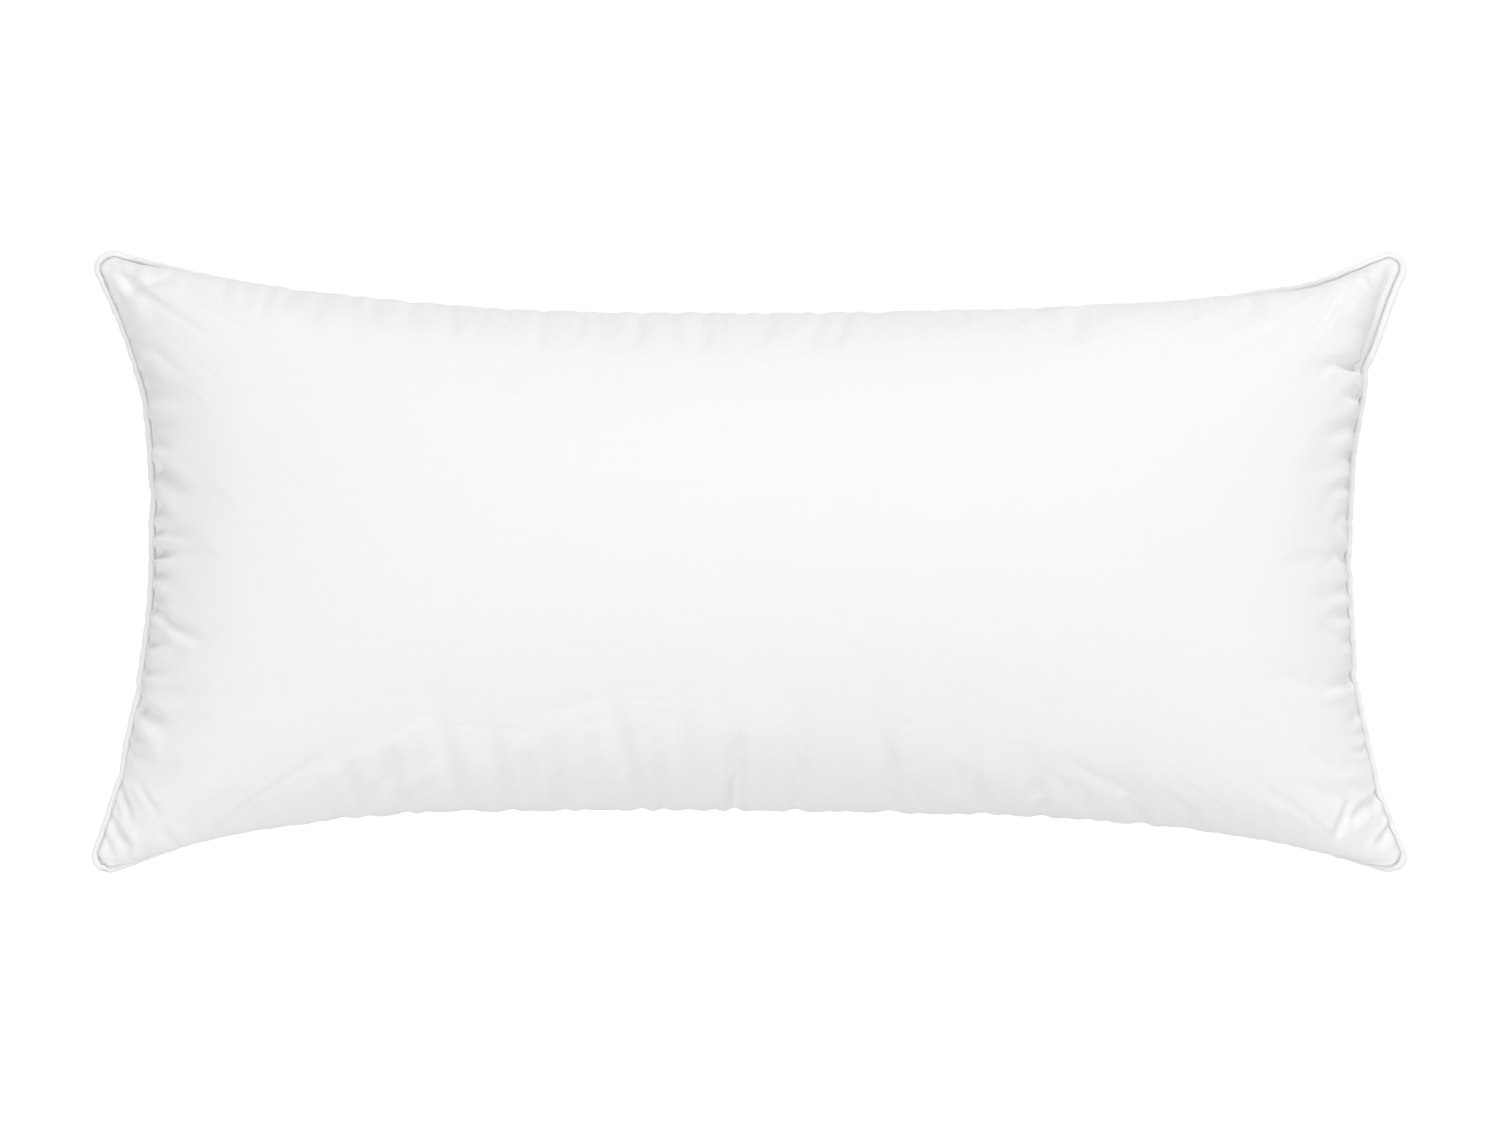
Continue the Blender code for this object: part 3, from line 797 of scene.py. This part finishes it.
def simulateCover(name, grid, share):
    # Fill the cover: the seam is held, the fibre holds the crown, and pressure does the rest
    columns, rows = grid.shape[0] - 1, grid.shape[1] - 1
    mesh = makeMesh(name, grid, gridFaces(columns + 1, rows + 1))
    cover = bpy.data.objects.new(name, mesh)
    scene = bpy.context.scene
    scene.collection.objects.link(cover)
    i, j = (np.abs(np.linspace(-1, 1, count + 1)) for count in (columns, rows))

    def grown(value, span):
        return smoothStep((value - span[0]) / span[1])

    corner = grown(i[:, None] * j[None, :], simulation["cornerFrom"])
    held = simulation["hold"] * np.maximum(grown(share, simulation["holdFrom"]), corner)
    held[:2], held[-2:], held[:, :2], held[:, -2:] = 1, 1, 1, 1
    tight = np.maximum(grown(share, simulation["tightFrom"]), corner)
    for groupName, weights in (("held", held), ("tight", tight)):
        group = cover.vertex_groups.new(name=groupName)
        for index, weight in enumerate(weights.ravel().tolist()):
            group.add([index], weight, "REPLACE")
    modifier = cover.modifiers.new("Cloth", "CLOTH")
    settings = modifier.settings
    settings.quality = simulation["quality"]
    settings.mass = simulation["vertexMass"]
    settings.tension_stiffness = simulation["tension"]
    settings.compression_stiffness = simulation["tension"]
    settings.shear_stiffness = simulation["shear"]
    settings.bending_stiffness = simulation["bending"]
    settings.tension_damping = simulation["damping"]
    settings.compression_damping = simulation["damping"]
    settings.shear_damping = simulation["damping"]
    settings.air_damping = simulation["airDamping"]
    settings.use_pressure = True
    settings.uniform_pressure_force = simulation["pressure"]
    settings.effector_weights.gravity = 0
    settings.vertex_group_mass = "held"
    settings.vertex_group_shrink = "tight"
    settings.shrink_min = -simulation["slack"]
    settings.shrink_max = 0
    modifier.collision_settings.use_collision = False
    modifier.collision_settings.use_self_collision = False
    modifier.point_cache.frame_start = 1
    modifier.point_cache.frame_end = simulation["frames"]
    for step in range(1, simulation["frames"] + 1):
        scene.frame_set(step)
    filled = cover.evaluated_get(bpy.context.evaluated_depsgraph_get()).to_mesh()
    points = np.zeros(len(filled.vertices) * 3, np.float32)
    filled.vertices.foreach_get("co", points)
    bpy.data.objects.remove(cover)
    scene.frame_set(1)
    return points.reshape(grid.shape).astype(float)


def refine(grid):
    # Twice as many rows each way, through the same points, by the four-point rule
    for axis in (0, 1):
        lines = np.moveaxis(grid, axis, 0)
        padded = np.concatenate([2 * lines[:1] - lines[1:2], lines, 2 * lines[-1:] - lines[-2:-1]])
        middles = (9 * (padded[1:-2] + padded[2:-1]) - padded[:-3] - padded[3:]) / 16
        finer = np.zeros((2 * len(lines) - 1, *lines.shape[1:]))
        finer[::2], finer[1::2] = lines, middles
        grid = np.moveaxis(finer, 0, axis)
    return grid


def sideCoordinates(shape):
    # For each side: metres in from it, and metres along it, on the flat cut
    width, height = cloth["cut"]
    x = np.linspace(-width / 2, width / 2, shape[0])[:, None] * np.ones((1, shape[1]))
    y = np.linspace(-height / 2, height / 2, shape[1])[None, :] * np.ones((shape[0], 1))
    return {"right": (width / 2 - x, y), "left": (width / 2 + x, y),
            "upper": (height / 2 - y, x), "lower": (height / 2 + y, x)}, np.stack([x, y], -1)


# The fine gather of cloth right beside a stitched seam
ripple = {
    "reach": 0.012,                # in from the seam
    "from": 0.005,
    "lengths": (0.007, 0.0105, 0.016),
    "drift": 1.5,                  # how unevenly the waves are spaced
    "driftLength": 0.031,
    "slant": 0.02,
    "patchLength": 0.023,
    "patchiness": 0.45,
}


def seamRipple(shape, panel, rng):
    height = np.zeros(shape)
    for away, along in sideCoordinates(shape)[0].values():
        size = np.exp(-away / ripple["reach"]) * smoothStep(away / ripple["from"])
        wave = np.zeros(shape)
        for length in ripple["lengths"]:
            phase = rng.uniform(0, 2 * math.pi)
            drift = ripple["drift"] * np.sin(along / ripple["driftLength"] + rng.uniform(0, 6))
            wave += np.sin(2 * math.pi * along / length + phase + drift + away / ripple["slant"])
        patches = np.sin(along / ripple["patchLength"] + rng.uniform(0, 6))
        patches = 1 - ripple["patchiness"] + ripple["patchiness"] * patches
        height += panel["ripple"] * size * wave * patches
    return height


def ringOf(grid):
    # The grid's border, counterclockwise from its lower right corner
    return np.concatenate([grid[-1, :-1], grid[:0:-1, -1], grid[0, :0:-1], grid[:-1, 0]])


def awayFromBorder(shape, rows, firstShare):
    # Zero on the border's rows, a first share on the next one and one inside it
    share = np.zeros(shape)
    share[rows:-rows, rows:-rows] = firstShare
    share[rows + 1:-rows - 1, rows + 1:-rows - 1] = 1
    return share


def buildPanel(panel):
    side, columns, rows = panel["side"], panel["columns"], panel["rows"]
    rng = np.random.default_rng(panel["seed"])
    grid, share, sides = crownGrid(columns, rows, foldLevel, panel["height"],
                                   setBack=panel["setBack"])
    gathers = [((a * millimetre, b * millimetre), (c * millimetre, d * millimetre),
                width * millimetre, depth * millimetre)
               for a, b, c, d, width, depth in panel["gathers"]]
    normals = gridNormals(grid)
    pushed = np.zeros(share.shape)
    for gather in smallGatherList(panel, rng):
        pushed += gatherDepth(grid, *gather)
    for gather in gathers:
        pushed += (1 - gathering["late"]) * gatherDepth(grid, *gather)
    pushed *= gatherShare(grid, normals)
    plain = refine(grid)
    pinEdges(grid, sides, side)
    grid += normals * (pushed * awayFromBorder(share.shape, 1, 0.4))[..., None]
    grid = simulateCover(panel["name"] + "_cloth", grid, share)
    grid = refine(grid)
    finerSides = sideDistances(columns * 2, rows * 2)
    late = seamRipple(grid.shape[:2], panel, rng)
    beside = awayFromBorder(late.shape, 2, 0.5)
    deep = np.zeros(late.shape)
    for gather in gathers:
        deep += gathering["late"] * gatherDepth(plain, *gather)
    late += deep * gatherShare(plain, gridNormals(plain)) * beside
    grid += gridNormals(grid) * late[..., None]
    grid = fromPanelSpace(grid, side)
    if side < 0:
        # Lying on a surface presses the back crown flat
        floor = backBox[0].z
        grid[..., 2] = floor + pressedFlat(grid[..., 2] - floor)
    outer = borderRows(grid, 0)
    for name, distance in finerSides.items():
        outer[name][:] = besideSeam(distance, 0.0, side * foldLevel)
    return grid, finerSides


def pressedFlat(height):
    # Zero below the surface, its own height well above it, rounded in between
    ease = crown["pressEase"]
    return np.where(height > 20 * ease, height,
                    ease * np.log1p(np.exp(np.clip(height / ease, -40, 20))))


def panelMesh(panel, grid, sides):
    # The crown's grid, the fold at the seam and the allowance turned inside
    side = panel["side"]
    columns, rows = grid.shape[:2]
    flat = sideCoordinates((columns, rows))[1]
    index = np.arange(columns * rows).reshape(columns, rows)
    ring = ringOf(index)
    distance = np.concatenate([sides["right"][:-1], sides["upper"][:0:-1],
                               sides["left"][:0:-1], sides["lower"][:-1]])
    bend = cloth["foldRadius"] * math.sqrt(0.5)
    allowance = alongSeam(distance)[3]
    section = [(bend - cloth["foldRadius"], foldLevel - bend),
               (-cloth["foldRadius"], cloth["panelLevel"]),
               (-allowance * 0.5, cloth["panelLevel"]), (-allowance, cloth["panelLevel"])]
    points, places = [grid.reshape(-1, 3)], [flat.reshape(-1, 2)]
    rings, turned = [ring], 0.0
    outward = alongSeam(distance)[1]
    for number, (out, up) in enumerate(section):
        out = out * np.ones(len(distance))
        points.append(besideSeam(distance, out, side * up))
        turned = turned + 0.001 if number < 2 else -out
        places.append(ringOf(flat) + outward * np.asarray(turned).reshape(-1, 1))
        rings.append(columns * rows + number * len(ring) + np.arange(len(ring)))
    strips = np.concatenate([np.array(rings), np.array(rings)[:, :1]], 1)
    stripFaces = np.stack([strips[:-1, :-1], strips[1:, :-1], strips[1:, 1:], strips[:-1, 1:]], -1)
    faces = np.concatenate([gridFaces(columns, rows), stripFaces.reshape(-1, 4)])
    if side < 0:
        faces = faces[:, ::-1]
    return makeMesh(panel["name"], np.concatenate(points), faces.tolist(),
                    np.concatenate(places))


covers = {}
for panel in (frontPanel, backPanel):
    grid, sides = buildPanel(panel)
    mesh = panelMesh(panel, grid, sides)
    cover = addPiece("cover_" + panel["name"], mesh, percale, [panel["name"]])
    addThickness(cover, cloth["thickness"])
    covers[panel["name"]] = (cover, grid)
    print("Panel %s: %d faces" % (panel["name"], len(mesh.polygons)))
frontGrid = covers["front_panel"][1]


piping = {
    "radius": (pipingBox[1].z - pipingBox[0].z) / 2,
    "reach": pipingBox[1].x - seam["tip"][0],
    "flangeLevel": 0.00055,
    "step": 0.0016,
    "sides": 14,
    "pucker": 0.00016,             # unevenness of the strip round the cord
    "puckerLength": 0.006,
    "puckerShares": (0.5, 0.8, 1.3, 2.2),
    "puckerEase": 0.8,             # angle over which they grow from the strip's mouth
    "seed": 21,
    "cordRadius": (cordBox[1].z - cordBox[0].z) / 2,
    "cordStrands": 3,
    "cordGroove": 0.24,            # between strands, as a share of the radius
    "cordLay": 0.011,              # length of one turn of the cord's strands
    "cordSides": 12,
}
piping["line"] = piping["reach"] - piping["radius"]


def pipingPucker(distance, angle):
    # Small slanted puckers of the bias strip, with a period that fits the whole seam
    rng = np.random.default_rng(piping["seed"])
    turns = 2 * math.pi * distance / seamLine["length"]
    wave = np.zeros(np.broadcast(distance, angle).shape)
    for length in piping["puckerShares"]:
        count = round(seamLine["length"] / (piping["puckerLength"] * length))
        slant = rng.choice((-1, 1))
        wave += length * np.sin(count * turns + slant * angle + rng.uniform(0, 6))
    return piping["pucker"] * wave / 2


def buildPipingCover():
    count = round(seamLine["length"] / piping["step"])
    distance = np.arange(count) * seamLine["length"] / count
    allowance = alongSeam(distance)[3]
    mouth = math.asin(piping["flangeLevel"] / piping["radius"])
    rings, across = [], []
    level = piping["flangeLevel"]
    mouthLine = piping["line"] - piping["radius"] * math.cos(mouth)
    angles = np.linspace(math.pi - mouth, mouth - math.pi, piping["sides"] + 1)
    for out in (-allowance, -allowance / 2):
        rings.append(besideSeam(distance, out, level))
        across.append(out)
    for angle in angles:
        away = smoothStep((math.pi - mouth - abs(angle)) / piping["puckerEase"])
        radius = piping["radius"] + away * pipingPucker(distance, angle)
        rings.append(besideSeam(distance, piping["line"] + radius * math.cos(angle),
                                radius * math.sin(angle)))
        across.append(np.full(count, mouthLine + piping["radius"] * (angles[0] - angle)))
    farSide = across[-1][0]
    for out in (-allowance / 2, -allowance):
        rings.append(besideSeam(distance, out, -level))
        across.append(farSide + mouthLine - out)
    across = np.stack(across)
    strip = np.stack([across, np.broadcast_to(distance, across.shape)], -1)
    faces = gridFaces(len(rings), count, closedColumns=True)
    mesh = makeMesh("piping_strip", np.stack(rings), faces.tolist(), strip)
    piece = addPiece("piping_strip", mesh, biasPercale, ["piping_cover"])
    addThickness(piece, cloth["thickness"])
    width = 2 * (cloth["allowance"] + mouthLine) + piping["radius"] * (angles[0] - angles[-1])
    return piece, width


def closedMesh(name, rings, capped):
    # A tube of rings with its faces pointing out, closed end to end or capped
    count, around = rings.shape[:2]
    faces = gridFaces(count, around, closedRows=not capped, closedColumns=True).tolist()
    if capped:
        faces += [list(range(around)), list(range((count - 1) * around, count * around))]
    mesh = makeMesh(name, rings, faces)
    shape = bmesh.new()
    shape.from_mesh(mesh)
    bmesh.ops.recalc_face_normals(shape, faces=shape.faces)
    shape.to_mesh(mesh)
    shape.free()
    return mesh


def buildCord():
    count = round(seamLine["length"] / piping["step"])
    distance = (np.arange(count) * seamLine["length"] / count)[:, None]
    angle = np.arange(piping["cordSides"])[None, :] * 2 * math.pi / piping["cordSides"]
    turns = round(seamLine["length"] / piping["cordLay"])
    twist = 2 * math.pi * turns * distance / seamLine["length"]
    lobes = np.abs(np.cos(piping["cordStrands"] / 2 * (angle - twist)))
    radius = piping["cordRadius"] * (1 - piping["cordGroove"] * (1 - lobes))
    wide = np.broadcast_to(distance, radius.shape)
    rings = besideSeam(wide, piping["line"] + radius * np.cos(angle), radius * np.sin(angle))
    mesh = closedMesh("piping_cord_twist", rings, False)
    return addPiece("piping_cord_twist", mesh, cordCotton, ["piping_cord"])


pipingStrip, stripWidth = buildPipingCover()
pipingCord = buildCord()
print("Piping: strip %.1f mm wide" % (stripWidth / millimetre))


stitching = {
    "radius": 0.0002,
    "sides": 6,
    "pitch": 0.0025,
    "pointsPerStitch": 6,
    "dip": 0.00012,                # how far a stitch sinks at its holes
    "clearance": 0.0003,
    "seamLineInside": 0.0013,      # the needle line, inside the fold
}
threadGap = stitching["clearance"] + stitching["radius"]


def stitchDips(count):
    # 0 at the top of a stitch and 1 at a hole
    phase = np.arange(count) / stitching["pointsPerStitch"]
    return (0.5 + 0.5 * np.cos(2 * math.pi * phase)) ** 2


def threadRings(path, closed, radius=stitching["radius"]):
    # Round sections square to the path
    if closed:
        ahead, behind = np.roll(path, -1, 0), np.roll(path, 1, 0)
    else:
        ahead, behind = np.concatenate([path[1:], path[-1:]]), np.concatenate([path[:1], path[:-1]])
    tangent = ahead - behind
    tangent /= np.linalg.norm(tangent, axis=1)[:, None]
    across = np.cross(tangent, (0, 0, 1))
    across /= np.linalg.norm(across, axis=1)[:, None]
    upright = np.cross(across, tangent)
    angle = np.arange(stitching["sides"]) * 2 * math.pi / stitching["sides"]
    return (path[:, None] + radius
            * (across[:, None] * np.cos(angle)[None, :, None]
               + upright[:, None] * np.sin(angle)[None, :, None]))


def seamStitches(name, node, out, up):
    # A row of stitches all round the seam, at (out, up) beside it
    stitches = round(seamLine["length"] / stitching["pitch"])
    count = stitches * stitching["pointsPerStitch"]
    distance = np.arange(count) * seamLine["length"] / count
    sign = 1 if up > 0 else -1
    level = up - sign * stitching["dip"] * stitchDips(count)
    path = besideSeam(distance, out, level)
    mesh = closedMesh(name, threadRings(path, True), False)
    return addPiece(name, mesh, sewingThread, [node])


def closingStitches():
    # The topstitch on the front panel's roll, up the right edge to the corner
    row = frontGrid[-1 - closing["stitchRow"]]
    normals = gridNormals(frontGrid)[-1 - closing["stitchRow"]]
    lengths = pathLengths(row)
    end = lengths[-1] - closing["fromTip"]
    start = end - closing["length"]
    stitches = round((end - start) / stitching["pitch"])
    at = np.linspace(start, end, stitches * stitching["pointsPerStitch"] + 1)
    path = np.stack([np.interp(at, lengths, row[:, axis]) for axis in range(3)], 1)
    away = np.stack([np.interp(at, lengths, normals[:, axis]) for axis in range(3)], 1)
    rise = closing["threadRadius"] + closing["threadRise"]
    dips = closing["holeDepth"] * stitching["dip"] * stitchDips(len(at))
    path += away * (rise - dips)[:, None]
    mesh = closedMesh("closing_topstitch", threadRings(path, False, closing["threadRadius"]), True)
    return addPiece("closing_topstitch", mesh, sewingThread, ["closing_thread"])


seamLevel = cloth["panelLevel"] + cloth["thickness"] + threadGap
seamStitches("seam_stitches_front", "seam_thread_front", -stitching["seamLineInside"], seamLevel)
seamStitches("seam_stitches_back", "seam_thread_back", -stitching["seamLineInside"], -seamLevel)
seamStitches("piping_stitches", "piping_thread", threadGap, piping["flangeLevel"] + threadGap)
closingStitches()
print("Stitches: pitch %.1f mm" % (stitching["pitch"] / millimetre))


def buildFilling():
    columns, rows = filling["columns"], filling["rows"]
    heights = {1: frontPanel["height"], -1: backPanel["height"] - crown["press"]}
    rng = np.random.default_rng(filling["seed"])
    waves = [(rng.normal(size=2) / filling["lumpSize"] * 2, rng.uniform(0, 6))
             for _ in range(filling["lumpWaves"])]
    points, faces = [], []
    index = np.arange((columns + 1) * (rows + 1)).reshape(columns + 1, rows + 1)
    border = np.ones(index.shape, bool)
    border[1:-1, 1:-1] = False
    lowerIndex = index.copy()
    lowerIndex[~border] = index.size + np.arange((~border).sum())
    for side, indices in ((1, index), (-1, lowerIndex)):
        grid, share, _ = crownGrid(columns, rows, 0.0, heights[side] - filling["gap"],
                                   filling["edgeGap"])
        lumps = sum(np.sin(grid[..., :2] @ wave + phase) for wave, phase in waves)
        grid[..., 2] += filling["lumpHeight"] * share * (lumps / 8 - filling["lumpSink"])
        grid = fromPanelSpace(grid, side)
        points.append(grid.reshape(-1, 3) if side > 0 else grid[~border])
        corners = np.stack([indices[:-1, :-1], indices[1:, :-1], indices[1:, 1:],
                            indices[:-1, 1:]], -1).reshape(-1, 4)
        faces += corners.tolist() if side > 0 else corners[:, ::-1].tolist()
    mesh = makeMesh("fibre_filling", np.concatenate(points), faces)
    piece = addPiece("fibre_filling", mesh, fillingFibre, ["filling"])
    return piece


fibre = buildFilling()


label = {
    "width": 0.045,
    "drop": 0.050,
    "place": (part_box("care_label")[0].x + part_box("care_label")[1].x) / 2,
    "thickness": 0.0003,
    "gap": 0.0012,
    "ease": 0.010,
    "columns": 24,
    "rows": 40,
    "curl": 0.0025,                # of the free end's two corners
    "rowPower": 1.6,               # packs the rows towards the seam
}


def buildLabel():
    # A blank tape from the seam's groove, lying against the back panel
    cover = covers["back_panel"][0]
    vertices = [vertex.co for vertex in cover.data.vertices]
    polygons = [list(face.vertices) for face in cover.data.polygons]
    wall = BVHTree.FromPolygons(vertices, polygons)
    head = seam["level"] - cloth["panelLevel"] - cloth["foldRadius"] / 2
    points, flat = [], []
    for row in range(label["rows"] + 1):
        down = (row / label["rows"]) ** label["rowPower"] * label["drop"]
        for column in range(label["columns"] + 1):
            share = column / label["columns"] - 0.5
            start = Vector((label["place"] + share * label["width"], -1, head - down))
            spot, facing = wall.ray_cast(start, Vector((0, 1, 0)))[:2]
            ease = min(down / label["ease"], 1)
            gap = stitching["clearance"] + (label["gap"] - stitching["clearance"]) * ease
            gap += label["curl"] * (abs(share) * 2) ** 3 * (down / label["drop"]) ** 2
            points.append(spot + facing * (gap + label["thickness"]))
            flat.append((share * label["width"], down))
    faces = gridFaces(label["rows"] + 1, label["columns"] + 1)
    mesh = makeMesh("blank_label", points, faces.tolist(), flat)
    piece = addPiece("blank_label", mesh, labelTape, ["care_label"])
    addThickness(piece, label["thickness"])
    return piece


blankLabel = buildLabel()
print("Filling and label done")


stage = {
    "floorSize": 40.0,
    "floorGap": 0.0005,
    "floorColour": (0.80, 0.80, 0.80),
    "floorGlow": 0.5,
    "world": 0.39,
    "lens": 100,
    "sensor": 36,
    "pillowShare": 0.8755,         # of the picture's width
}
lights = {
    "back": {"place": (0.2, 2.0, 1.6), "size": 1.6, "power": 25.1},
    "frontLeft": {"place": (-1.3, -1.0, 2.0), "size": 1.6, "power": 21.1},
    "frontRight": {"place": (1.3, -1.0, 2.0), "size": 1.6, "power": 9.5},
    "right": {"place": (2.1, 0.0, 1.4), "size": 1.6, "power": 9.2},
}


def addFloor():
    mesh = makeMesh("floor", np.array([(-1, -1, 0), (1, -1, 0), (1, 1, 0), (-1, 1, 0)])
                    * stage["floorSize"] / 2, [(0, 1, 2, 3)], smooth=False)
    floor = bpy.data.objects.new("floor", mesh)
    bpy.context.scene.collection.objects.link(floor)
    material = bpy.data.materials.new("paleFloor")
    material.use_nodes = True
    shader = material.node_tree.nodes["Principled BSDF"]
    shader.inputs["Base Color"].default_value = (*stage["floorColour"], 1)
    shader.inputs["Roughness"].default_value = 0.9
    shader.inputs["Emission Color"].default_value = (1, 1, 1, 1)
    # The floor glows to the eye, like a light table, and lights nothing
    seen = addNode(material.node_tree, "ShaderNodeLightPath").outputs["Is Camera Ray"]
    glow = addMath(material.node_tree, "MULTIPLY", seen, stage["floorGlow"])
    fill(material.node_tree, shader.inputs["Emission Strength"], glow)
    mesh.materials.append(material)
    floor.location.z = cadBox[0].z - stage["floorGap"]


def addLight(name, place, size, power):
    data = bpy.data.lights.new(name, "AREA")
    data.shape = "DISK"
    data.size = size
    data.energy = power
    light = bpy.data.objects.new(name, data)
    light.location = place
    light.rotation_mode = "QUATERNION"
    light.rotation_quaternion = Vector(place).to_track_quat("Z", "Y")
    bpy.context.scene.collection.objects.link(light)


def addCamera():
    data = bpy.data.cameras.new("camera")
    data.lens = stage["lens"]
    data.sensor_width = stage["sensor"]
    camera = bpy.data.objects.new("camera", data)
    wide = (cadBox[1].x - cadBox[0].x) / stage["pillowShare"]
    camera.location = (0, 0, seam["level"] + wide * stage["lens"] / stage["sensor"])
    bpy.context.scene.collection.objects.link(camera)
    bpy.context.scene.camera = camera


addFloor()
for name, light in lights.items():
    addLight(name, **light)
addCamera()
world = bpy.data.worlds.new("studio")
world.use_nodes = True
world.node_tree.nodes["Background"].inputs["Color"].default_value = (1, 1, 1, 1)
world.node_tree.nodes["Background"].inputs["Strength"].default_value = stage["world"]
bpy.context.scene.world = world
bpy.context.scene.view_settings.view_transform = "Standard"
print("Stage done")
